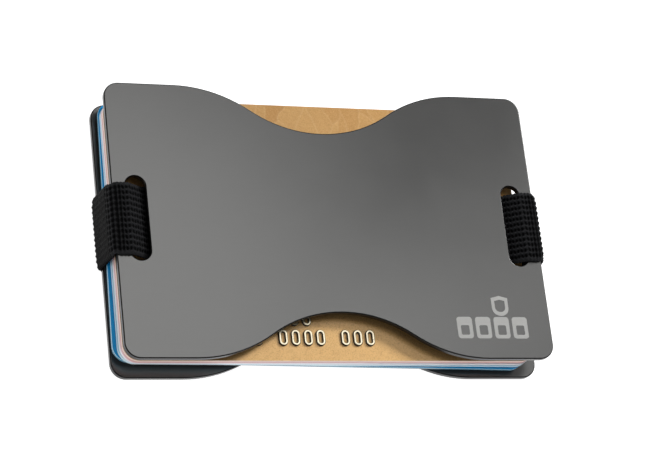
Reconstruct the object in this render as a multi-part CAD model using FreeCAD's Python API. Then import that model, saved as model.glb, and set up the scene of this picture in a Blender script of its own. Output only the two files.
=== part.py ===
"""Minimalist card wallet: two aluminium plates held face to face by one woven elastic band,
with five payment-size cards clamped between them.

Frame: +Z up out of the front plate, X along the long edges, Y along the short edges.
Origin: middle of the wallet's outline, in the plane it lies on (the band's underside). Units: mm.
"""
import FreeCAD, Part
import math
import os

V = FreeCAD.Vector

# plates
PLATE_W = 89.0            # long edge
PLATE_H = 56.8            # short edge
PLATE_T = 1.3
CORNER_R = 3.1
EDGE_ROUND = 0.25         # softened rim of the plates
NOTCH_DEPTH = 9.43        # thumb cut-out, measured in from the long edge
NOTCH_R = 25.7            # hollow arc at the bottom of the cut-out
SHOULDER_R = 27.4         # rounded shoulder between cut-out and straight edge
SLOT_X = 39.7             # middle of each slot from the plate's middle
SLOT_W = 4.1
SLOT_L = 17.3

# the two plates sit a little out of line with each other (half of the offset each)
SKEW_X = 0.38
SKEW_Y = 0.70

# elastic band
BAND_T = 1.0
BAND_W = 14.9
WALL_GAP = 0.03           # band to plate edge
WALL_INSET = 0.2          # the side walls start this far below a plate's inner face
SLOT_CLEAR = 0.05         # band to the slot's rims
SLOT_BEND = 1.0           # centre-line radius where the band dives into a slot
EDGE_BEND = 0.75          # centre-line radius where it folds round a plate's edge
SEAM_GAP = 0.3            # butt joint of the band's two ends, on the hidden rear run
THREAD_W = 0.35
THREAD_D = 0.25
THREAD_REACH = 1.5        # zigzag's half width
THREAD_TURNS = 9
REAR_BAND_Y = 0.98        # where the band has crept along the slots, from each plate's middle
FRONT_BAND_Y = -0.35

# cards, payment-card size
CARD_W = 85.60
CARD_H = 53.98
CARD_T = 0.76
CARD_R = 3.18
CARD_GAP = 0.05           # air between neighbours
FIRST_CARD_AIR = 0.05     # under the lowest card
TOP_AIR = 0.50            # room over the top card for its raised numerals

# raised numerals of the top card
DIGIT_W = 1.90
DIGIT_H = 3.3
DIGIT_STROKE = 0.60
DIGIT_RISE = 0.42
DIGIT_EASE = 0.16         # sloped flank at the top
DIGIT_PITCH = 2.58
LOWER_ROW_Y = -22.35      # from the card's middle
UPPER_ROW_Y = -18.32
LAST_DIGIT_X = 7.55

# small inlays, flush with the card's faces
CHIP_W = 12.2
CHIP_H = 10.8
CHIP_R = 1.6
CHIP_T = 0.20
CHIP_X = -26.2            # from the card's middle
CHIP_Y = 3.4
CHIP_TRACK = 0.16         # insulating gap between the contact pads
FILM_T = 0.04             # stripes and signature panels
STRIPE_H = 12.7
STRIPE_DROP = 2.92        # card's upper edge to the stripe
PANEL_W = 60.0
PANEL_H = 8.0
PANEL_X = -7.0
PANEL_DROP = 19.5         # card's upper edge to the panel's upper edge

# (node, shift in x, shift in y, turn in degrees), lowest card first
CARDS = (
    ("card_5_dark_blue", -1.53, -0.22, -1.10),
    ("card_4_pale_blue", -1.00, -0.24, -0.40),
    ("card_3_white", -0.90, -0.25, -0.20),
    ("card_2_rose", -0.92, -0.25, 0.0),
    ("card_1_gold", -0.92, -0.25, 0.0),
)

# middle of the band where it runs through each plate
REAR_RUN = (-SKEW_X, -SKEW_Y + REAR_BAND_Y)
FRONT_RUN = (SKEW_X, SKEW_Y + FRONT_BAND_Y)

# heights
REAR_Z = BAND_T
REAR_RUN_Z = REAR_Z + PLATE_T
STACK_Z = REAR_RUN_Z + BAND_T + FIRST_CARD_AIR
STACK_TOP = STACK_Z + len(CARDS) * CARD_T + (len(CARDS) - 1) * CARD_GAP
FRONT_RUN_Z = STACK_TOP + TOP_AIR
FRONT_Z = FRONT_RUN_Z + BAND_T
TOTAL_Z = FRONT_Z + PLATE_T + BAND_T
WALL_LOW = REAR_RUN_Z - WALL_INSET        # the leaning, stretching side walls start here
WALL_HIGH = TOTAL_Z - WALL_LOW            # and end here


def arc(cx, cy, r, a0, a1, z=0.0):
    """Edge of a circle about (cx, cy), from angle a0 to a1 in degrees."""
    def at(a):
        return V(cx + r * math.cos(math.radians(a)), cy + r * math.sin(math.radians(a)), z)
    return Part.Arc(at(a0), at((a0 + a1) / 2), at(a1)).toShape()


def closed_face(curves):
    """Face inside a ring of curves, with straight lines added wherever two curves don't meet."""
    edges = []
    for i, e in enumerate(curves):
        edges.append(e)
        a = e.valueAt(e.LastParameter)
        nxt = curves[(i + 1) % len(curves)]
        b = nxt.valueAt(nxt.FirstParameter)
        if a.distanceToPoint(b) > 1e-6:
            edges.append(Part.LineSegment(a, b).toShape())
    return Part.Face(Part.Wire(edges))


def rounded_rect(w, h, r):
    """Face, centred on the origin."""
    x, y = w / 2 - r, h / 2 - r
    return closed_face([arc(x, y, r, 0, 90), arc(-x, y, r, 90, 180),
                        arc(-x, -y, r, 180, 270), arc(x, -y, r, 270, 360)])


def slab(face, z, t):
    solid = face.extrude(V(0, 0, t))
    solid.translate(V(0, 0, z))
    return solid


def notched_outline():
    """Plate outline: straight shoulders, S-curves down into a thumb cut-out on each long edge."""
    w, h = PLATE_W / 2, PLATE_H / 2
    both = NOTCH_R + SHOULDER_R
    reach = math.sqrt(2 * NOTCH_DEPTH * both - NOTCH_DEPTH ** 2)
    lean = math.degrees(math.asin(reach / both))
    hollow_y = h - NOTCH_DEPTH + NOTCH_R
    half = [
        arc(w - CORNER_R, h - CORNER_R, CORNER_R, 0, 90),
        arc(reach, h - SHOULDER_R, SHOULDER_R, 90, 90 + lean),
        arc(0, hollow_y, NOTCH_R, 270 + lean, 270 - lean),
        arc(-reach, h - SHOULDER_R, SHOULDER_R, 90 - lean, 90),
        arc(-w + CORNER_R, h - CORNER_R, CORNER_R, 90, 180),
    ]
    other = []
    for e in half:
        turned = e.copy()
        turned.rotate(V(0, 0, 0), V(0, 0, 1), 180)
        other.append(turned)
    return closed_face(half + other)


def plate(z, side):
    """One plate; side is +1 for the front plate's offset and -1 for the rear plate's."""
    body = slab(notched_outline(), z, PLATE_T)
    for sx in (-1, 1):
        hole = slab(rounded_rect(SLOT_W, SLOT_L, SLOT_W / 2 - 1e-4), z, PLATE_T)
        hole.translate(V(sx * SLOT_X, 0, 0))
        body = body.cut(hole)
    rim = [e for e in body.Edges
           if abs(e.BoundBox.ZMax - e.BoundBox.ZMin) < 1e-6]
    body = body.makeFillet(EDGE_ROUND, rim)
    body.translate(V(side * SKEW_X, side * SKEW_Y, 0))
    return body


def strip_face(corners, bends, t):
    """Face of a strip of thickness t in the XZ plane, along a centre line with rounded corners."""
    sides = ([], [])
    n = len(corners)
    for i, (x, z) in enumerate(corners):
        here = V(x, 0, z)
        before = (here - V(corners[i - 1][0], 0, corners[i - 1][1])).normalize() if i else None
        after = (V(corners[i + 1][0], 0, corners[i + 1][1]) - here).normalize() if i < n - 1 else None
        if before is None or after is None:
            d = after or before
            for s, side in zip((1, -1), sides):
                side.append((here + V(-d.z, 0, d.x) * (s * t / 2),))
            continue
        turn = math.atan2(before.x * after.z - before.z * after.x, before.dot(after))
        r = bends[i]
        back = r * math.tan(abs(turn) / 2)
        start, end = here - before * back, here + after * back
        inward = V(-before.z, 0, before.x) * math.copysign(1, turn)
        centre = start + inward * r
        bisector = (here - centre).normalize()
        for s, side in zip((1, -1), sides):
            rs = r - s * math.copysign(1, turn) * t / 2
            side.append((centre + (start - centre).normalize() * rs, centre + bisector * rs,
                         centre + (end - centre).normalize() * rs))
    edges = []
    for side in sides:
        last = None
        for item in side:
            if last is not None:
                edges.append(Part.LineSegment(last, item[0]).toShape())
            if len(item) == 3:
                edges.append(Part.Arc(*item).toShape())
            last = item[-1]
    for k in (0, -1):
        edges.append(Part.LineSegment(sides[0][k][-1 if k else 0], sides[1][k][-1 if k else 0]).toShape())
    return Part.Face(Part.Wire(Part.__sortEdges__(edges)))


def half_loop():
    """The rear plate's share of the band: inner run, both slot crossings, outer runs and folds."""
    mid = REAR_Z + PLATE_T / 2
    across = math.hypot(SLOT_W, PLATE_T)
    tilt = math.atan2(PLATE_T, SLOT_W) + math.asin((BAND_T + 2 * SLOT_CLEAR) / across)
    half_span = (PLATE_T + BAND_T) / 2 / math.tan(tilt)
    wall_x = PLATE_W / 2 + WALL_GAP + BAND_T / 2
    inner, outer = mid + (PLATE_T + BAND_T) / 2, mid - (PLATE_T + BAND_T) / 2
    right = [(SLOT_X - half_span, inner), (SLOT_X + half_span, outer), (wall_x, outer), (wall_x, WALL_LOW)]
    left = [(-x, z) for x, z in reversed(right)]
    bends = [0, EDGE_BEND, SLOT_BEND, SLOT_BEND, SLOT_BEND, SLOT_BEND, EDGE_BEND, 0]
    face = strip_face(left + right, bends, BAND_T)
    loop = face.extrude(V(0, BAND_W, 0))
    loop.translate(V(0, -BAND_W / 2, 0))
    return loop


def seam_thread(z_top):
    """Zigzag thread sunk into the band's hidden run, across its butt joint."""
    length = BAND_W - 1.6
    pts = []
    for i in range(THREAD_TURNS + 1):
        pts.append((THREAD_REACH * (1 if i % 2 else -1), -length / 2 + length * i / THREAD_TURNS))
    thread = None
    for (x0, y0), (x1, y1) in zip(pts, pts[1:]):
        run = math.hypot(x1 - x0, y1 - y0)
        face = rounded_rect(run + THREAD_W, THREAD_W, THREAD_W / 2 - 1e-4)
        piece = slab(face, z_top - THREAD_D, THREAD_D)
        piece.rotate(V(0, 0, 0), V(0, 0, 1), math.degrees(math.atan2(y1 - y0, x1 - x0)))
        piece.translate(V((x0 + x1) / 2, (y0 + y1) / 2, 0))
        thread = piece if thread is None else thread.fuse(piece)
    return thread.removeSplitter()


def side_walls():
    """The two short lengths of band between the plates, leaning from one run across to the other."""
    walls = []
    wall_x = PLATE_W / 2 + WALL_GAP + BAND_T / 2
    for sx in (-1, 1):
        ends = []
        for z, (run_x, y) in ((WALL_LOW, REAR_RUN), (WALL_HIGH, FRONT_RUN)):
            x = sx * wall_x + run_x
            dx, dy = BAND_T / 2, BAND_W / 2
            ring = [V(x - dx, y - dy, z), V(x + dx, y - dy, z), V(x + dx, y + dy, z), V(x - dx, y + dy, z)]
            ends.append(Part.makePolygon(ring + ring[:1]))
        walls.append(Part.makeLoft(ends, True, True))
    return Part.makeCompound(walls)


def place_card(shape, spec):
    """Move a shape made about a card's middle to where that card lies."""
    _, dx, dy, turn = spec
    moved = shape.copy()
    moved.rotate(V(0, 0, 0), V(0, 0, 1), turn)
    moved.translate(V(dx, dy, 0))
    return moved


def zero_ring(x, y, z):
    """One raised zero: an oval ring with an eased top."""
    outer = rounded_rect(DIGIT_W, DIGIT_H, DIGIT_W / 2 - 1e-3)
    hole_w, hole_h = DIGIT_W - 2 * DIGIT_STROKE, DIGIT_H - 2 * DIGIT_STROKE
    inner = rounded_rect(hole_w, hole_h, hole_w / 2 - 1e-3)
    ring = slab(outer, 0, DIGIT_RISE).cut(slab(inner, 0, DIGIT_RISE))
    top = [e for e in ring.Edges if e.BoundBox.ZMin > DIGIT_RISE - 1e-6]
    ring = ring.makeChamfer(DIGIT_EASE, top)
    ring.translate(V(x, y, z))
    return ring


def numerals(z):
    """Rows of zeros in groups of four, as the top card's raised number."""
    rings = []
    for k in range(15):
        if k in (3, 8, 13):                       # spaces between the groups
            continue
        rings.append(zero_ring(LAST_DIGIT_X - k * DIGIT_PITCH, LOWER_ROW_Y, z))
    for k in range(5, 13):
        rings.append(zero_ring(LAST_DIGIT_X - k * DIGIT_PITCH, UPPER_ROW_Y, z))
    return Part.makeCompound(rings)


def chip(z_top):
    """Contact pads of the top card: a rounded plate cut into eight pads round a middle one."""
    pads = slab(rounded_rect(CHIP_W, CHIP_H, CHIP_R), z_top - CHIP_T, CHIP_T)
    cuts = [Part.makeBox(CHIP_TRACK, CHIP_H, CHIP_T, V(x - CHIP_TRACK / 2, -CHIP_H / 2, z_top - CHIP_T))
            for x in (-CHIP_W / 6, CHIP_W / 6)]
    for y in (-CHIP_H / 4, 0, CHIP_H / 4):
        for x0 in (-CHIP_W / 2, CHIP_W / 6):
            cuts.append(Part.makeBox(CHIP_W / 3, CHIP_TRACK, CHIP_T,
                                     V(x0, y - CHIP_TRACK / 2, z_top - CHIP_T)))
    for c in cuts:
        pads = pads.cut(c)
    pads.translate(V(CHIP_X, CHIP_Y, 0))
    return pads


def stripe(z):
    bar = Part.makeBox(CARD_W, STRIPE_H, FILM_T, V(-CARD_W / 2, CARD_H / 2 - STRIPE_DROP - STRIPE_H, z))
    return bar


def signature_panel(z):
    panel = slab(rounded_rect(PANEL_W, PANEL_H, 0.6), z, FILM_T)
    panel.translate(V(PANEL_X, CARD_H / 2 - PANEL_DROP - PANEL_H / 2, 0))
    return panel


def export(shape, node):
    shape.exportStep("parts/" + node + ".step")


os.makedirs("parts", exist_ok=True)

rear_plate, front_plate = plate(REAR_Z, -1), plate(FRONT_Z, 1)
export(rear_plate, "rear_plate")
export(front_plate, "front_plate")

rear_half = half_loop()
front_half = rear_half.mirror(V(0, 0, TOTAL_Z / 2), V(0, 0, 1))
rear_half.translate(V(*REAR_RUN, 0))
front_half.translate(V(*FRONT_RUN, 0))
thread = seam_thread(REAR_RUN_Z + BAND_T)
thread.translate(V(*REAR_RUN, 0))
butt = Part.makeBox(SEAM_GAP, BAND_W, BAND_T, V(-SEAM_GAP / 2, -BAND_W / 2, REAR_RUN_Z))
butt.translate(V(*REAR_RUN, 0))
# the round end of a slot nips the edge of the band that has crept towards it
export(rear_half.cut(butt).cut(thread).cut(rear_plate), "band_rear_run")
export(front_half.cut(front_plate), "band_front_run")
export(side_walls(), "band_side_walls")
export(thread, "band_seam_thread")

for level, spec in enumerate(CARDS):
    z = STACK_Z + level * (CARD_T + CARD_GAP)
    top = z + CARD_T
    card = slab(rounded_rect(CARD_W, CARD_H, CARD_R), z, CARD_T)
    trim = {}
    if spec[0] in ("card_1_gold", "card_5_dark_blue"):
        trim["_stripe"] = stripe(z)
        trim["_signature_panel"] = signature_panel(z)
    if spec[0] == "card_1_gold":
        trim["_chip"] = chip(top)
    for piece in trim.values():
        card = card.cut(piece)
    if spec[0] == "card_1_gold":
        trim["_numerals"] = numerals(top)
    export(place_card(card, spec), spec[0])
    for ending, piece in trim.items():
        export(place_card(piece, spec), spec[0] + ending)
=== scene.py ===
"""Looks of the minimalist card wallet: anodised plates, woven elastic band and five cards."""
import math

import bmesh
import bpy
import numpy as np
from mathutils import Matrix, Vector


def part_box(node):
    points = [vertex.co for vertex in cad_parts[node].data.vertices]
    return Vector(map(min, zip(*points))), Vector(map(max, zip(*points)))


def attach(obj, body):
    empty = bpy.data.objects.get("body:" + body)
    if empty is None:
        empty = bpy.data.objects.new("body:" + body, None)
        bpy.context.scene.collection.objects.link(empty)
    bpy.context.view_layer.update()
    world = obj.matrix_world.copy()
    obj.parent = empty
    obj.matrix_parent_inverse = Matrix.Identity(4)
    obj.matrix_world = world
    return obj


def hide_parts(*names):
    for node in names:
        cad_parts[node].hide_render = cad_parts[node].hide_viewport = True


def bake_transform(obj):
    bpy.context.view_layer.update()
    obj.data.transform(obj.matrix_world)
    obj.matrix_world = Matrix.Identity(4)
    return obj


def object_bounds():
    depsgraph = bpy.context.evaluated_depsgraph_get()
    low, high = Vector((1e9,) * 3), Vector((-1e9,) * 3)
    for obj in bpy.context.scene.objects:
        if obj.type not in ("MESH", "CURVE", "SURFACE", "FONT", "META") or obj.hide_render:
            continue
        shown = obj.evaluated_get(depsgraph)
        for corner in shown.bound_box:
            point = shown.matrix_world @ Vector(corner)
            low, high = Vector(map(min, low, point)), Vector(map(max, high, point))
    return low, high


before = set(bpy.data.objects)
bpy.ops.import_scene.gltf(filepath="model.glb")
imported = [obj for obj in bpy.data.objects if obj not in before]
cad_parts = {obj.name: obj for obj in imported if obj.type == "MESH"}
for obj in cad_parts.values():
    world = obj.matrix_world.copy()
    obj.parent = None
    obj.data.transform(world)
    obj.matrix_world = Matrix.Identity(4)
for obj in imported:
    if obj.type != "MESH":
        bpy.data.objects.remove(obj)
cad_lo, cad_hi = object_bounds()

MM = 0.001


def node_box(name):
    """Lowest and highest corner of a CAD node, in millimetres."""
    lo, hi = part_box(name)
    return np.array(lo) / MM, np.array(hi) / MM


# places worked out from the frame, in millimetres
FRONT_LO, FRONT_HI = node_box("front_plate")
FRONT_RUN_LO, FRONT_RUN_HI = node_box("band_front_run")
REAR_RUN_LO, REAR_RUN_HI = node_box("band_rear_run")
WALLS_TOP = node_box("band_side_walls")[1][2]

PLATE_W = FRONT_HI[0] - FRONT_LO[0]
PLATE_T = FRONT_HI[2] - FRONT_LO[2]
BAND_T = FRONT_LO[2] - FRONT_RUN_LO[2]
BAND_W = FRONT_RUN_HI[1] - FRONT_RUN_LO[1]
FRONT_MIDDLE = (FRONT_LO + FRONT_HI) / 2
FRONT_RUN_MIDDLE = (FRONT_RUN_LO + FRONT_RUN_HI) / 2
REAR_RUN_MIDDLE = (REAR_RUN_LO + REAR_RUN_HI) / 2
MIDDLE_Z = (cad_lo.z + cad_hi.z) / 2 / MM

# the band's way through a plate, as in the CAD
SLOT_X = 39.7
SLOT_W = 4.1
SLOT_CLEAR = 0.05
SLOT_BEND = 1.0
EDGE_BEND = 1.35          # rounder than the CAD's fold
SEAM_GAP = 0.3

# steps of the band's mesh
ARC_POINTS = 24           # points in each rounded bend of its centre line
FINE_STEP = 0.09          # where it shows
HIDDEN_STEP = 0.2         # between the plates
TANGENT_REACH = 0.04      # a direction is taken this far to each side of a point
SELVEDGE_STEPS = 6
WELD_DISTANCE = 0.002

# the weave: heights are shares of WEAVE_DEPTH, 0 in the grooves and 1 on the cords
ROWS = 13                 # raised warp cords across the band
CORD_WIDTH = 0.26         # from a cord's middle to where it has fallen to a third
CORD_SWAY = 0.07          # cords snake sideways by this share of a row
CORD_DIP = 0.38           # a cord sinks this far between its stitches
STITCH_PITCH = 0.76
RIB_PITCH = 0.72          # weft ribs along the band
RIB_HEIGHT = 0.66         # a rib's top
RIB_DIP = 0.65            # a rib sinks by this share between two rows
RIB_EDGE = 0.8            # power that shapes a rib: higher is narrower
RIB_EDGE_OPEN = 2.4       # added to it where a fold pulls the ribs apart
OPEN_DIP = 0.62           # cords sink this far between ribs that are pulled apart
WEAVE_DEPTH = 0.46        # from the cords' tops down to the grooves
INNER_WEAVE = 0.4         # the weave on the inner face, as a share of the outer one's depth
WEAVE_PROUD = 0.14        # cords' tops over the CAD band, on the outside runs
PROUD_REACH = 2.0         # length over which the band comes up to that height

# the band's edges, folds, walls and seam
SELVEDGE = 0.34           # radius of its rounded edge
SELVEDGE_PLAIN = 0.9      # width along each edge that has hardly any weave
SELVEDGE_HEIGHT = 0.72    # the height there
SELVEDGE_WAVE = 0.06      # the edge swings in and out with the ribs by this much
WAVE_REACH = 1.0          # how far in from the rounded edge the wave reaches
CROWN = 0.30              # the band thins towards its edges by this much
CROWN_REACH = 2.2         # over this width
FOLD_ZONE = 1.0           # the fold round a plate's edge begins this far inside that edge
OPEN_BEFORE = 0.9         # the ribs are widest apart this far before the fold's middle
OPEN_REACH = 1.3
FOLD_PINCH = 0.26         # the cloth is thinner where it is pulled over a plate's rim
PINCH_REACH = 0.9
FOLD_NARROWS = 0.045      # share of its width that the band loses at the fold
NARROW_AFTER = 0.2        # it is narrowest this far beyond the fold's middle
NARROW_REACH = 0.7
WALL_PLAIN_FROM = 0.9     # height over the plate's inner face where the wall begins to turn smoother
WALL_PLAIN_REACH = 1.0    # and the length that this takes
WALL_FLATNESS = 0.7       # share of the weave's depth that the stretched wall loses
WALL_PAINTED_SHADE = 0.62         # the wall's weave value is scaled down by this share, so the wall gets more of the painted groove shade and reads darker
SEAM_REACH = 2.2          # half length of the band that the seam presses flat
SEAM_DIP = 0.22

# stage: metres and degrees, but the lens and its sensor in millimetres
AIM = Vector((0, 0, 0.008))
FLOOR_SIZE = 6.0
FLOOR_Z = -0.0001
WORLD_STRENGTH = 0.17
CAMERA_PLACE = (-0.1680, -0.1656, 0.4281)
CAMERA_TURN = (22.325, -19.305, -6.541)
SENSOR_WIDTH = 36.0
LENS = 135.66


# ---------------------------------------------------------------- materials

class Shader:
    """A material being built round one Principled shader."""

    def __init__(self, name, **fixed):
        self.material = bpy.data.materials.new(name)
        self.material.use_nodes = True
        self.tree = self.material.node_tree
        self.principled = self.tree.nodes["Principled BSDF"]
        self.use(**fixed)

    def use(self, **inputs):
        """Fill the Principled shader's inputs, with _ for a blank in their names."""
        self.set(self.principled, {key.replace("_", " "): value for key, value in inputs.items()})
        return self.material

    def set(self, node, inputs):
        """Fill a node's inputs, by name or number, with constants or with other nodes' outputs."""
        for key, value in inputs.items():
            socket = node.inputs[key]
            if isinstance(value, bpy.types.NodeSocket):
                self.tree.links.new(value, socket)
            else:
                socket.default_value = value

    def node(self, kind, inputs=None, **settings):
        """Add a node. Its settings come first, because some of them change its inputs."""
        made = self.tree.nodes.new("ShaderNode" + kind)
        for key, value in settings.items():
            setattr(made, key, value)
        self.set(made, inputs or {})
        return made

    def place(self):
        """Coordinates fixed to the piece, in metres."""
        return self.node("TexCoord").outputs["Object"]

    def axes(self):
        """The three coordinates of place(), one by one."""
        parted = self.node("SeparateXYZ", {0: self.place()})
        return [parted.outputs[i] for i in range(3)]

    def streaked(self, squeeze):
        """place() with X squeezed, which draws noise out along X."""
        x, y, z = self.axes()
        return self.node("CombineXYZ", {0: self.math("MULTIPLY", x, squeeze), 1: y, 2: z}).outputs[0]

    def noise(self, size, detail=2.0, where=None, distortion=0.0):
        """Noise with features about `size` millimetres across, from 0 to 1."""
        made = self.node("TexNoise", {"Scale": 1 / (size * MM), "Detail": detail,
                                      "Distortion": distortion, "Vector": where or self.place()})
        return made.outputs["Fac"]

    def attribute(self, name):
        return self.node("Attribute", attribute_name=name).outputs["Fac"]

    def math(self, operation, a, b=0.0):
        return self.node("Math", {0: a, 1: b}, operation=operation).outputs[0]

    def weighed(self, a, a_share, b, b_share):
        """Sum of two values, each times its share."""
        return self.math("ADD", self.math("MULTIPLY", a, a_share), self.math("MULTIPLY", b, b_share))

    def span(self, value, low, high, to_low=0.0, to_high=1.0, smooth=False):
        """value from low to high, moved to to_low to to_high and held there."""
        made = self.node("MapRange", {"Value": value, "From Min": low, "From Max": high,
                                      "To Min": to_low, "To Max": to_high})
        made.interpolation_type = "SMOOTHSTEP" if smooth else "LINEAR"
        return made.outputs["Result"]

    def mix(self, share, a, b):
        """Colour a, with `share` of colour b over it."""
        made = self.node("Mix", data_type="RGBA")
        self.set(made, {0: share, 6: a, 7: b})
        return made.outputs[2]

    def bump(self, height, depth, under=None):
        """Relief `depth` millimetres deep where height goes from 0 to 1."""
        inputs = {"Height": height, "Distance": depth * MM, "Strength": 1.0}
        if under is not None:
            inputs["Normal"] = under
        return self.node("Bump", inputs).outputs["Normal"]


def colour(r, g, b):
    return (r, g, b, 1.0)


def plate_material(name, node):
    """Dark satin anodising: fine pores, faint handling smudges and a trace of rolling grain, with painted
    shade: the rims are near black, standing in for the shade on the sides, slot walls and cut-out edges.
    """
    s = Shader(name, Metallic=0.6, Specular_IOR_Level=0.5)
    dark = colour(0.109, 0.1087, 0.1065)
    light = colour(0.118, 0.1177, 0.1152)
    # painted shade: the rim colour darkens the plates' sides, slot walls and cut-out edges, standing in for
    # the shade on them
    rim = colour(0.012, 0.012, 0.0125)
    face_ends, shaded_rim_starts = 0.001, 0.010           # millimetres below a face
    lo, hi = node_box(node)
    height = s.axes()[2]
    top = s.span(height, (hi[2] - shaded_rim_starts) * MM, (hi[2] - face_ends) * MM)
    bottom = s.span(height, (lo[2] + face_ends) * MM, (lo[2] + shaded_rim_starts) * MM, 1.0, 0.0)
    on_face = s.math("MAXIMUM", top, bottom)
    smudge = s.noise(size=14.0, detail=4.0, distortion=0.4)
    pores = s.noise(size=0.11, detail=3.0)
    grain = s.noise(size=0.22, where=s.streaked(squeeze=0.04))
    tone = s.weighed(smudge, 0.7, grain, 0.3)
    face = s.mix(s.span(tone, 0.3, 0.7), dark, light)
    roughness = s.span(s.weighed(smudge, 1.0, pores, 0.5), 0.4, 1.1, 0.205, 0.235)
    fine = s.bump(pores, depth=0.0022)
    return s.use(Base_Color=s.mix(on_face, rim, face), Roughness=roughness,
                 Normal=s.bump(grain, depth=0.0012, under=fine))


def webbing_material():
    """Black polyester yarn: slanting fibres on cords and ribs, with painted shade that makes the grooves deep
    black and a painted highlight that makes the cords' tops paler.
    """
    s = Shader("woven_elastic", Specular_IOR_Level=0.06)
    # painted shade: the grooves' near-black colour stands in for the shade down in them
    painted_groove_shade = colour(0.0006, 0.0006, 0.0008)
    cord = colour(0.038, 0.0385, 0.0415)
    painted_highlight_colour = colour(0.060, 0.061, 0.065)
    fibre_pitch, fibre_lean = 0.12, 0.55
    height, along, across = (s.attribute(name) for name in ("weave", "along", "across"))
    slanted = s.weighed(along, 1.0, across, fibre_lean)
    fibres = s.span(s.math("SINE", s.math("MULTIPLY", slanted, 2 * math.pi / fibre_pitch)), -1.0, 1.0)
    where = s.node("CombineXYZ", {0: along, 1: across}).outputs[0]
    fuzz = s.node("TexNoise", {"Scale": 9.0, "Detail": 3.0, "Vector": where}).outputs["Fac"]
    # the weave attribute sets how much of the painted groove shade each point gets
    yarn = s.mix(s.span(height, 0.25, 0.95), painted_groove_shade, cord)
    # painted highlight: the tops of the cords are lightened, broken up by the fuzz noise
    painted_highlight = s.math("MULTIPLY", s.span(fuzz, 0.5, 0.8), s.span(height, 0.45, 1.0, 0.0, 0.6))
    return s.use(Base_Color=s.mix(painted_highlight, yarn, painted_highlight_colour), Roughness=s.span(fuzz, 0.3, 0.7, 0.52, 0.72),
                 Normal=s.bump(s.weighed(fibres, 0.6, fuzz, 0.7), depth=0.03))


def thread_material():
    """Bonded sewing thread, with the twist of its plies."""
    s = Shader("bonded_thread", Specular_IOR_Level=0.5, Sheen_Weight=0.2)
    twist = s.node("TexWave", {"Scale": 900.0, "Distortion": 1.0, "Vector": s.place()},
                   bands_direction="DIAGONAL").outputs["Fac"]
    return s.use(Base_Color=s.mix(twist, colour(0.012, 0.012, 0.013), colour(0.045, 0.045, 0.048)),
                 Roughness=0.55, Normal=s.bump(twist, depth=0.03))


def layered_card(s, node, face, back, core, skin, rim=None):
    """Colour of a laminated card: printed faces, and at its edges a core between two thin skins.

    Also gives 1 on the faces and 0 on the edges. Without a rim colour the upper skin is the face's.
    """
    lo, hi = node_box(node)
    fade = 0.02                                    # millimetres from one layer to the next
    flat_enough = 0.7                              # of the normal, upward or downward
    up = s.node("SeparateXYZ", {0: s.node("NewGeometry").outputs["Normal"]}).outputs[2]
    height = s.axes()[2]
    upper = s.span(height, (hi[2] - skin - fade) * MM, (hi[2] - skin) * MM)
    lower = s.span(height, (lo[2] + skin) * MM, (lo[2] + skin + fade) * MM, 1.0, 0.0)
    flat = s.math("GREATER_THAN", s.math("ABSOLUTE", up), flat_enough)
    edge = s.mix(lower, s.mix(upper, core, rim or face), back)
    printed = s.mix(s.math("GREATER_THAN", up, 0.0), back, face)
    return s.mix(flat, edge, printed), flat


def card_material(name, node, face, back, core, print_colour, rim=None, skin=0.12):
    """Gloss laminate over a soft printed pattern of drifting bands."""
    s = Shader(name, Specular_IOR_Level=0.2, Coat_Weight=0.06, Coat_Roughness=0.18)
    band_count = 9.0
    drift = s.noise(size=22.0, detail=1.0, distortion=1.5)
    bands = s.math("FRACT", s.math("MULTIPLY", drift, band_count))
    off_middle = s.math("ABSOLUTE", s.math("SUBTRACT", bands, 0.5))
    pattern = s.span(off_middle, 0.1, 0.3, 0.0, 0.55, smooth=True)
    base, _ = layered_card(s, node, s.mix(pattern, face, print_colour), back, core, skin, rim)
    dots = s.noise(size=0.12, detail=1.0)
    speckled = s.mix(s.span(dots, 0.35, 0.75, 0.0, 0.05), base, colour(0.9, 0.9, 0.9))
    return s.use(Base_Color=speckled, Roughness=s.span(dots, 0.3, 0.7, 0.26, 0.36),
                 Normal=s.bump(dots, depth=0.002))


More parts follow.
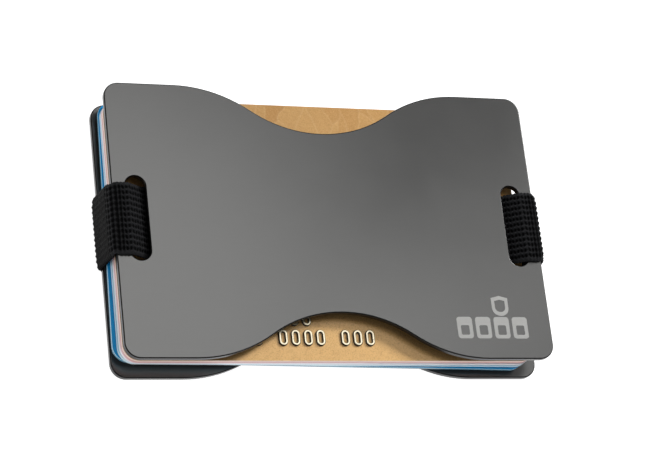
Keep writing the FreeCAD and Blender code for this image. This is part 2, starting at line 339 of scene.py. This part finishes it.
def gold_material():
    """Metallic gold laminate: slanting angular facets in its upper part, fine flakes below, a cream edge."""
    s = Shader("gold_laminate", Specular_IOR_Level=0.5, Coat_Weight=0.35, Coat_Roughness=0.22)
    facets_per_metre = 260.0
    facet_turn, facet_squash = math.radians(-38), (1.0, 0.42, 1.0)
    upper_from, upper_to = -0.012, 0.012           # metres along Y
    place = s.place()

    # facets: cells of a warped, turned and squashed pattern
    warp = s.noise(size=9.0)
    push = s.node("CombineXYZ", {0: warp, 1: s.noise(size=11.0), 2: warp}).outputs[0]
    push = s.node("VectorMath", {0: push, "Scale": 0.006}, operation="SCALE").outputs[0]
    bent = s.node("VectorMath", {0: place, 1: push}, operation="ADD").outputs[0]
    turned = s.node("Mapping", {"Vector": bent, "Rotation": (0, 0, facet_turn), "Scale": facet_squash})
    facets = {"Scale": facets_per_metre, "Vector": turned.outputs[0]}
    leaf = s.node("TexVoronoi", facets, feature="F1").outputs["Color"]
    tone = s.node("SeparateColor", {0: leaf}).outputs[0]
    to_crease = s.node("TexVoronoi", facets, feature="DISTANCE_TO_EDGE").outputs["Distance"]

    # the upper part shows the facets in a richer gold, and the lower part only mottling
    upper_part = s.span(s.axes()[1], upper_from, upper_to, 0.1, 1.0, smooth=True)
    facet_shade = s.weighed(tone, 0.6, s.noise(size=5.0, detail=3.0), 0.4)
    shade = s.mix(upper_part, s.noise(size=3.0, detail=3.0), facet_shade)
    share = s.span(shade, 0.25, 0.75)
    pale = s.mix(share, colour(0.67, 0.418, 0.166), colour(0.80, 0.520, 0.214))
    rich = s.mix(share, colour(0.44, 0.239, 0.078), colour(0.60, 0.368, 0.143))
    gold = s.mix(upper_part, pale, rich)

    crease = s.math("MULTIPLY", s.span(to_crease, 0.0, 0.07, 1.0, 0.0, smooth=True), upper_part)
    gold = s.mix(s.math("MULTIPLY", crease, 0.12), gold, colour(0.78, 0.58, 0.33))
    flake = s.noise(size=0.24, detail=3.0)
    flakiness = s.span(upper_part, 0.1, 1.0, 1.0, 0.5)
    bright_flake = s.math("MULTIPLY", s.span(flake, 0.45, 0.75, 0.0, 0.45), flakiness)
    dark_flake = s.math("MULTIPLY", s.span(flake, 0.25, 0.48, 0.45, 0.0), flakiness)
    gold = s.mix(bright_flake, gold, colour(0.78, 0.56, 0.29))
    gold = s.mix(dark_flake, gold, colour(0.30, 0.18, 0.07))

    base, flat = layered_card(s, "card_1_gold", gold, back=colour(0.50, 0.33, 0.15),
                              core=colour(0.85, 0.64, 0.55), skin=0.03)
    fine = s.bump(flake, depth=0.004)
    return s.use(Base_Color=base, Metallic=s.math("MULTIPLY", flat, 0.85),
                 Roughness=s.span(shade, 0.2, 0.8, 0.58, 0.68),
                 Normal=s.bump(crease, depth=0.004, under=fine))


def numeral_material():
    """Raised numerals: rubbed pale tipping foil on top, with near-black flanks that are painted shade round
    the numerals.
    """
    s = Shader("tipped_numerals", Specular_IOR_Level=0.5)
    foil_from, foil_full = 0.05, 0.008             # millimetres below the numerals' tops
    top = node_box("card_1_gold_numerals")[1][2]
    rubbed = s.noise(size=0.35, detail=3.0)
    tip = s.span(s.axes()[2], (top - foil_from) * MM, (top - foil_full) * MM)
    tip = s.math("MULTIPLY", tip, s.span(rubbed, 0.25, 0.42, 0.8, 1.0))
    # painted shade: the flanks below the foil are near black, standing in for the shade round the raised
    # numerals
    base = s.mix(tip, colour(0.020, 0.012, 0.005), colour(0.80, 0.72, 0.53))
    return s.use(Base_Color=base, Metallic=s.math("MULTIPLY", tip, 0.8),
                 Roughness=s.span(rubbed, 0.3, 0.7, 0.26, 0.42), Normal=s.bump(rubbed, depth=0.01))


def chip_material():
    """Gold-plated contact pads, finely brushed and a little tarnished."""
    s = Shader("chip_contacts", Metallic=1.0)
    brushed = s.noise(size=0.15, detail=3.0)
    tarnish = s.noise(size=4.0, detail=3.0)
    base = s.mix(s.span(tarnish, 0.3, 0.7), colour(0.72, 0.53, 0.25), colour(0.88, 0.70, 0.38))
    return s.use(Base_Color=base, Roughness=s.span(brushed, 0.3, 0.7, 0.2, 0.34),
                 Normal=s.bump(brushed, depth=0.003))


def film_material(name, dark, light, rough):
    """Printed or oxide film: an even tone with a fine tooth and a few hairline scuffs."""
    s = Shader(name, Specular_IOR_Level=0.4)
    tooth = s.noise(size=0.10)
    scuff = s.span(s.noise(size=0.3, detail=4.0, where=s.streaked(squeeze=0.02)), 0.6, 0.75)
    base = s.mix(s.math("MULTIPLY", scuff, 0.4), s.mix(tooth, dark, light), colour(0.25, 0.25, 0.25))
    return s.use(Base_Color=base, Roughness=s.span(tooth, 0.3, 0.7, rough, rough + 0.1),
                 Normal=s.bump(tooth, depth=0.003))


def mark_material():
    """Laser-etched mark: the anodising is burnt off to pale frosted metal."""
    s = Shader("etched_mark", Metallic=0.3)
    frost = s.noise(size=0.09, detail=3.0)
    lines = s.node("TexWave", {"Scale": 1100.0, "Vector": s.place()}, bands_direction="Y").outputs["Fac"]
    tone = s.weighed(frost, 0.7, lines, 0.3)
    return s.use(Base_Color=s.mix(tone, colour(0.38, 0.38, 0.37), colour(0.55, 0.55, 0.53)),
                 Roughness=0.6, Normal=s.bump(frost, depth=0.004))


def floor_material():
    """Pale backdrop that glows a little, so that it stays even."""
    s = Shader("pale_floor", Specular_IOR_Level=0.15, Roughness=0.85,
               Emission_Color=colour(1, 1, 1), Emission_Strength=0.96)
    soft = s.noise(size=60.0)
    return s.use(Base_Color=s.mix(soft, colour(0.58, 0.58, 0.58), colour(0.60, 0.60, 0.60)))


def paint(obj, material):
    """Give a piece one material, in place of those it had."""
    obj.data.materials.clear()
    obj.data.materials.append(material)
    return obj


# ---------------------------------------------------------------- woven band

def unit(v):
    return v / np.linalg.norm(v)


def ramp(value, start, reach):
    """0 up to start, then rising to 1 over reach."""
    return np.clip((value - start) / reach, 0, 1)


def bell(value, centre, reach):
    """1 at the centre, fading away on both sides."""
    return np.exp(-((value - centre) / reach) ** 2)


def rounded_line(corners, radii):
    """Points along a line of corners, each corner rounded to its radius."""
    corners = [np.array(corner, float) for corner in corners]
    points = [corners[0]]
    for before, here, after, radius in zip(corners, corners[1:], corners[2:], radii):
        a, b = unit(before - here), unit(after - here)
        half = math.acos(np.clip(a @ b, -1, 1)) / 2
        centre = here + unit(a + b) * radius / math.sin(half)
        start = here + a * radius / math.tan(half) - centre
        end = here + b * radius / math.tan(half) - centre
        turn = math.pi - 2 * half
        for t in np.linspace(0, 1, ARC_POINTS):
            swung = start * math.sin((1 - t) * turn) + end * math.sin(t * turn)
            points.append(centre + swung / math.sin(turn))
    points.append(corners[-1])
    return np.array(points)


def half_line():
    """Right half of the front band's centre line in XZ, from its inner run's middle to mid wall height."""
    mid = FRONT_LO[2] + PLATE_T / 2
    across = math.hypot(SLOT_W, PLATE_T)
    tilt = math.atan2(PLATE_T, SLOT_W) + math.asin((BAND_T + 2 * SLOT_CLEAR) / across)
    half_span = (PLATE_T + BAND_T) / 2 / math.tan(tilt)
    wall_x = FRONT_RUN_HI[0] - FRONT_RUN_MIDDLE[0] - BAND_T / 2
    inner, outer = mid - (PLATE_T + BAND_T) / 2, mid + (PLATE_T + BAND_T) / 2
    corners = [(0, inner), (SLOT_X - half_span, inner), (SLOT_X + half_span, outer), (wall_x, outer),
               (wall_x, MIDDLE_Z)]
    return rounded_line(corners, [SLOT_BEND, SLOT_BEND, EDGE_BEND])


def walk(points, start, fine_from):
    """Stations along a line from length `start`, closer together beyond x = fine_from.

    Gives their places in XZ, their outward normals and their lengths along the line.
    """
    lengths = np.concatenate([[0], np.cumsum(np.linalg.norm(np.diff(points, axis=0), axis=1))])
    outward = np.argmax(points[:, 0]) + 1
    at_fine = np.interp(fine_from, points[:outward, 0], lengths[:outward])
    coarse = np.arange(start, at_fine, HIDDEN_STEP)
    fine = np.linspace(at_fine, lengths[-1], int((lengths[-1] - at_fine) / FINE_STEP))
    along = np.concatenate([coarse, fine])

    def at(length):
        return np.stack([np.interp(length, lengths, points[:, i]) for i in (0, 1)], 1)

    tangent = at(along + TANGENT_REACH) - at(along - TANGENT_REACH)
    tangent /= np.linalg.norm(tangent, axis=1)[:, None]
    return at(along), np.stack([-tangent[:, 1], tangent[:, 0]], 1), along


def weave(along, across, open_ribs):
    """Height of the weave, 0 to 1, at lengths along and across the band in millimetres."""
    row = across / BAND_W * ROWS + CORD_SWAY * np.sin(math.pi * along / STITCH_PITCH)
    in_row = row - np.floor(row)
    off_cord = np.abs(in_row - 0.5) * BAND_W / ROWS
    stitch = 0.5 + 0.5 * np.cos(2 * math.pi * along / STITCH_PITCH)
    cord = bell(off_cord, 0, CORD_WIDTH) * (1 - CORD_DIP + CORD_DIP * stitch)
    rib = np.abs(np.sin(math.pi * along / RIB_PITCH)) ** (RIB_EDGE + RIB_EDGE_OPEN * open_ribs)
    fullness = np.sqrt(np.abs(np.sin(math.pi * in_row)))
    rib = RIB_HEIGHT * rib * (1 - RIB_DIP + RIB_DIP * fullness)
    return np.clip(np.maximum(cord * (1 - OPEN_DIP * open_ribs * (1 - rib)), rib), 0, 1)


def cross_stations():
    """Places across the band, with its rounded edges, and the share of its thickness at each."""
    side_room = BAND_W / 2 - SELVEDGE
    turn = np.linspace(0, math.pi / 2, SELVEDGE_STEPS)
    edge = side_room + SELVEDGE * np.sin(turn)
    inside = np.linspace(-side_room, side_room, int(2 * side_room / FINE_STEP))[1:-1]
    across = np.concatenate([-edge[::-1], inside, edge])
    fullness = np.concatenate([np.cos(turn)[::-1], np.ones(len(inside)), np.cos(turn)])
    return across, fullness


def band_rings(place, normal, along, seam):
    """Right side of a half band as rings of points round the strap.

    Each point is its x, y and z before the side's shift, the weave's height (scaled down on the plain wall as
    painted shade) and its place across.
    """
    across, fullness = cross_stations()
    on_edge = place[:, 0] > PLATE_W / 2 - FOLD_ZONE
    at_fold = along[np.argmin(np.where(on_edge, np.abs(normal[:, 0] - normal[:, 1]), np.inf))]
    open_ribs = bell(along, at_fold - OPEN_BEFORE, OPEN_REACH)[:, None]
    pinch = bell(along, at_fold, PINCH_REACH)[:, None]
    narrow = bell(along, at_fold + NARROW_AFTER, NARROW_REACH)[:, None]
    outside = ramp(place[:, 0], SLOT_X - SLOT_W / 2, PROUD_REACH)[:, None]
    on_wall = place[:, 0] > PLATE_W / 2
    below = FRONT_LO[2] + WALL_PLAIN_FROM - place[:, 1]
    plain = (ramp(below, 0, WALL_PLAIN_REACH) * on_wall)[:, None]
    pressed = np.exp(-(place[:, :1] / SEAM_REACH) ** 4) if seam else 0

    length, side = np.meshgrid(along, across, indexing="ij")
    from_edge = BAND_W / 2 - np.abs(side)
    height = weave(length, side + BAND_W / 2, open_ribs)
    woven = ramp(from_edge, 0, SELVEDGE_PLAIN)
    height = height * woven + SELVEDGE_HEIGHT * (1 - woven)
    depth = WEAVE_DEPTH * (1 - WALL_FLATNESS * plain)
    thin = CROWN * np.clip(1 - from_edge / CROWN_REACH, 0, 1) ** 2
    top = BAND_T / 2 + WEAVE_PROUD * outside - depth * (1 - height) - SEAM_DIP * pressed - thin
    bottom = BAND_T / 2 - WEAVE_DEPTH * INNER_WEAVE * (1 - height) - FOLD_PINCH * pinch
    waving = from_edge < SELVEDGE + WAVE_REACH
    wave = 1 + SELVEDGE_WAVE / BAND_W * 2 * np.sin(2 * math.pi * length / RIB_PITCH) * waving
    y = side * wave * (1 - FOLD_NARROWS * narrow)
    # painted shade: this value sets the webbing's painted groove shade and cord highlight, and is lowered on
    # the plain wall to darken it
    shade = height * (1 - WALL_PAINTED_SHADE * plain)

    skins = []
    for offset in (top * fullness, -bottom * fullness):
        x = place[:, :1] + normal[:, :1] * offset
        z = place[:, 1:] + normal[:, 1:] * offset
        skins.append(np.stack([x, y, z, shade, side], 2))
    return np.concatenate([skins[0], skins[1][:, -2:0:-1]], 1)


def tube_faces(rings, count, first, flip, both_ends):
    """Faces of a tube of rings of `count` points, numbered from first, closed at its far end or at both."""
    i = first + np.arange(rings - 1)[:, None] * count
    j = np.arange(count)[None]
    k = (j + 1) % count
    quads = np.stack([i + j, i + k, i + count + k, i + count + j], 2).reshape(-1, 4)
    last = first + (rings - 1) * count
    near, far = list(range(first, first + count)), list(range(last, last + count))
    if flip:
        quads, far = quads[:, ::-1], far[::-1]
    else:
        near = near[::-1]
    return quads.tolist() + ([near, far] if both_ends else [far])


def band_half(name, lower, seam):
    """Mesh of the band's front half, or of its rear half where lower; seam is the gap left in its middle."""
    place, normal, along = walk(half_line(), seam / 2, SLOT_X - SLOT_W)
    rings = band_rings(place, normal, along, seam)
    count = rings.shape[1]
    per_side = len(along) * count

    # a plate's runs lie over its own slots, and the walls lean from one plate's runs to the other's
    own, other = (REAR_RUN_MIDDLE, FRONT_RUN_MIDDLE) if lower else (FRONT_RUN_MIDDLE, REAR_RUN_MIDDLE)
    rise = (place[:, 1] - MIDDLE_Z) / (WALLS_TOP - MIDDLE_Z)
    share = np.where(place[:, 0] > PLATE_W / 2, np.clip(0.5 + 0.5 * rise, 0, 1), 1.0)[:, None]
    shift = other[:2] + (own[:2] - other[:2]) * share

    z = 2 * MIDDLE_Z - rings[:, :, 2] if lower else rings[:, :, 2]
    vertices, faces, values = [], [], {"weave": [], "along": [], "across": []}
    for sx in (-1, 1):
        x = sx * rings[:, :, 0] + shift[:, :1]
        y = rings[:, :, 1] + shift[:, 1:]
        flip = (sx > 0) != lower
        faces += tube_faces(len(along), count, len(vertices) * per_side, flip, seam > 0)
        vertices.append(np.stack([x, y, z], 2).reshape(-1, 3))
        # the weave attribute carries the painted shade and highlight into the webbing's colour
        values["weave"].append(rings[:, :, 3].ravel())
        values["along"].append(np.repeat(along * sx, count))
        values["across"].append(rings[:, :, 4].ravel())

    mesh = bpy.data.meshes.new(name)
    mesh.from_pydata((np.concatenate(vertices) * MM).tolist(), [], faces)
    for label, numbers in values.items():
        layer = mesh.attributes.new(label, "FLOAT", "POINT")
        layer.data.foreach_set("value", np.concatenate(numbers).astype(np.float32))
    for polygon in mesh.polygons:
        polygon.use_smooth = len(polygon.vertices) == 4
    if not seam:
        weld(mesh)
    obj = bpy.data.objects.new(name, mesh)
    bpy.context.scene.collection.objects.link(obj)
    return obj


def weld(mesh):
    """Join the two mirrored sides where they meet in the middle."""
    work = bmesh.new()
    work.from_mesh(mesh)
    bmesh.ops.remove_doubles(work, verts=work.verts, dist=WELD_DISTANCE * MM)
    work.to_mesh(mesh)
    work.free()


def seam_stitching():
    """Zigzag stitching over the butt joint of the band's two ends."""
    lo, hi = node_box("band_seam_thread")
    centre = (lo + hi) / 2
    turns, steps_per_turn = 9, 16
    radius = 0.13
    side_margin, end_margin = 0.18, 0.3            # from the CAD thread's outline to the centre line
    below_top, dive = 0.02, 0.12                   # under the CAD thread's top, and further down at the holes
    reach = (hi[0] - lo[0]) / 2 - side_margin
    length = hi[1] - lo[1] - 2 * end_margin
    curve = bpy.data.curves.new("band_seam_stitching", "CURVE")
    curve.dimensions = "3D"
    curve.bevel_depth = radius * MM
    curve.bevel_resolution = 4
    curve.use_fill_caps = True
    spline = curve.splines.new("POLY")
    steps = turns * steps_per_turn
    spline.points.add(steps)
    for i, point in enumerate(spline.points):
        t = i / steps * turns
        phase = (t + 0.5) / 2
        swing = 2 * abs(2 * (phase - math.floor(phase + 0.5))) - 1
        x = centre[0] + reach * math.sin(math.pi / 2 * swing)
        y = centre[1] + length * (t / turns - 0.5)
        z = hi[2] - radius - below_top - dive * abs(swing) ** 6
        point.co = (x * MM, y * MM, z * MM, 1)
    obj = bpy.data.objects.new("band_seam_stitching", curve)
    bpy.context.scene.collection.objects.link(obj)
    return obj


# ---------------------------------------------------------------- etched mark

def rounded_outline(x, y, w, h, r):
    """Points round a rounded rectangle centred at x, y."""
    points_per_corner = 6
    points = []
    for cx, cy, start in ((1, 1, 0), (-1, 1, 90), (-1, -1, 180), (1, -1, 270)):
        for angle in np.radians(np.linspace(start, start + 90, points_per_corner)):
            points.append((x + cx * (w / 2 - r) + r * math.cos(angle),
                           y + cy * (h / 2 - r) + r * math.sin(angle)))
    return points


def tile_loops():
    """Four card tiles in a row, each with a window low down, as outlines from the plate's middle."""
    w, h, pitch = 3.3, 4.5, 4.0
    first_x, row_y = 25.7, -21.9
    side_frame, end_frame, drop = 1.5, 2.5, 0.5
    corner, window_corner = 0.6, 0.3
    loops = []
    for k in range(4):
        x = first_x + k * pitch
        window = rounded_outline(x, row_y - drop, w - side_frame, h - end_frame, window_corner)
        loops.append(rounded_outline(x, row_y, w, h, corner))
        loops.append(window[::-1])
    return loops


def shield_loops():
    """A small shield over the tiles: its outline and the opening in it."""
    x, y, size, opening = 33.9, -17.25, 1.8, 0.62
    belly_y, belly_depth, belly_power, belly_points = -0.15, 1.05, 0.8, 15
    end_angle = 0.05
    shape = [(-1.0, 0.9), (0.0, 1.15), (1.0, 0.9)]
    for angle in np.linspace(end_angle, math.pi - end_angle, belly_points):
        shape.append((math.cos(angle), belly_y - belly_depth * math.sin(angle) ** belly_power))
    outer = [(x + a * size, y + b * size) for a, b in shape]
    inner = [(x + a * size * opening, y + b * size * opening) for a, b in shape]
    return [outer, inner[::-1]]


def plate_mark():
    """A plain generic mark: card tiles under a small shield, just proud of the plate."""
    proud = 0.012
    curve = bpy.data.curves.new("plate_mark", "CURVE")
    curve.dimensions = "2D"
    curve.fill_mode = "BOTH"
    curve.extrude = proud / 2 * MM
    for loop in tile_loops() + shield_loops():
        spline = curve.splines.new("POLY")
        spline.points.add(len(loop) - 1)
        for point, (x, y) in zip(spline.points, loop):
            point.co = (x * MM, y * MM, 0, 1)
        spline.use_cyclic_u = True
    shaped = bpy.data.objects.new("plate_mark_curve", curve)
    mesh = bpy.data.meshes.new_from_object(shaped)
    bpy.data.objects.remove(shaped)
    obj = bpy.data.objects.new("plate_mark", mesh)
    obj.location = (FRONT_MIDDLE[0] * MM, FRONT_MIDDLE[1] * MM, (FRONT_HI[2] + proud / 2) * MM)
    bpy.context.scene.collection.objects.link(obj)
    return obj


# ---------------------------------------------------------------- stage

def area_light(name, place, side, power):
    """Square softbox that is aimed at the wallet and doesn't show itself."""
    light = bpy.data.lights.new(name, "AREA")
    light.shape = "SQUARE"
    light.size = side
    light.energy = power
    obj = bpy.data.objects.new(name, light)
    obj.location = place
    obj.rotation_euler = (AIM - Vector(place)).to_track_quat("-Z", "Y").to_euler()
    obj.visible_camera = False
    bpy.context.scene.collection.objects.link(obj)


def studio():
    """White surroundings, a pale floor and soft lights, three of which the plates mirror."""
    scene = bpy.context.scene
    scene.view_settings.view_transform = "Standard"
    scene.world = bpy.data.worlds.new("studio")
    scene.world.use_nodes = True
    background = scene.world.node_tree.nodes["Background"]
    background.inputs["Color"].default_value = colour(1, 1, 1)
    background.inputs["Strength"].default_value = WORLD_STRENGTH
    bpy.ops.mesh.primitive_plane_add(size=FLOOR_SIZE, location=(0, 0, FLOOR_Z))
    floor = bpy.context.active_object
    floor.name = "floor"
    paint(floor, floor_material())
    area_light("softbox", (0.08, 0.10, 0.43), side=0.20, power=0.192)
    area_light("softbox_far", (0.04, 0.16, 0.43), side=0.22, power=0.132)
    area_light("softbox_right", (0.27, 0.10, 0.43), side=0.16, power=0.096)
    area_light("key", (0.45, 0.30, 0.35), side=0.14, power=2.3)
    area_light("fill", (-0.40, -0.10, 0.14), side=0.20, power=0.30)


def camera():
    """Long lens, above the wallet's near left corner."""
    data = bpy.data.cameras.new("camera")
    data.sensor_fit = "HORIZONTAL"
    data.sensor_width = SENSOR_WIDTH
    data.lens = LENS
    data.clip_start = 0.01
    data.clip_end = 20.0
    obj = bpy.data.objects.new("camera", data)
    obj.location = CAMERA_PLACE
    obj.rotation_euler = [math.radians(angle) for angle in CAMERA_TURN]
    bpy.context.scene.collection.objects.link(obj)
    bpy.context.scene.camera = obj


# ---------------------------------------------------------------- the wallet

def plates():
    """Both plates in one finish, and the mark etched on the front one."""
    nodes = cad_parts
    for name in ("front_plate", "rear_plate"):
        paint(nodes[name], plate_material(name + "_anodised", name))
    mark = paint(plate_mark(), mark_material())
    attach(mark, "front_plate")


def band():
    """The band's two woven halves, built in place of the CAD's runs and walls, and the seam's stitching on
    the rear plate.
    """
    webbing = webbing_material()
    front = paint(band_half("band_front_half", False, 0.0), webbing)
    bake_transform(front)
    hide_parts("band_front_run", "band_side_walls")
    rear = paint(band_half("band_rear_half", True, SEAM_GAP), webbing)
    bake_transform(rear)
    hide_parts("band_rear_run", "band_side_walls")
    thread = paint(seam_stitching(), thread_material())
    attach(thread, "rear_plate")
    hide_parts("band_seam_thread")


def cards():
    """Each card in its own print, with the inlays of the gold and the dark blue one."""
    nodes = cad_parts
    paint(nodes["card_1_gold"], gold_material())
    paint(nodes["card_1_gold_numerals"], numeral_material())
    paint(nodes["card_1_gold_chip"], chip_material())
    stripe = film_material("magnetic_stripe", colour(0.012, 0.010, 0.009), colour(0.03, 0.026, 0.024), 0.32)
    panel = film_material("signature_panel", colour(0.74, 0.74, 0.72), colour(0.86, 0.86, 0.84), 0.6)
    for name in ("card_1_gold", "card_5_dark_blue"):
        paint(nodes[name + "_stripe"], stripe)
        paint(nodes[name + "_signature_panel"], panel)
    white = colour(0.80, 0.80, 0.80)
    looks = {
        "card_2_rose": dict(
            face=colour(0.66, 0.24, 0.26), print_colour=colour(0.76, 0.38, 0.38),
            back=white, core=colour(0.70, 0.40, 0.41)),
        "card_3_white": dict(
            face=colour(0.92, 0.92, 0.94), print_colour=colour(0.80, 0.86, 0.94),
            back=white, core=colour(0.84, 0.80, 0.86)),
        "card_4_pale_blue": dict(
            face=colour(0.46, 0.80, 0.98), print_colour=colour(0.66, 0.88, 0.98),
            back=white, core=colour(0.62, 0.84, 0.96)),
        # card 5's edge: its pale upper skin over a dark core and lower skin; the dark lower part is partly
        # the card's own dark blue and partly painted shade under the edge
        "card_5_dark_blue": dict(
            face=colour(0.0, 0.36, 0.80), print_colour=colour(0.0, 0.40, 0.86),
            back=colour(0.10, 0.22, 0.32), core=colour(0.004, 0.14, 0.26),
            rim=colour(0.46, 0.76, 0.86), skin=0.24),
    }
    for name, look in looks.items():
        paint(nodes[name], card_material(name + "_print", name, **look))


studio()
camera()
plates()
band()
cards()
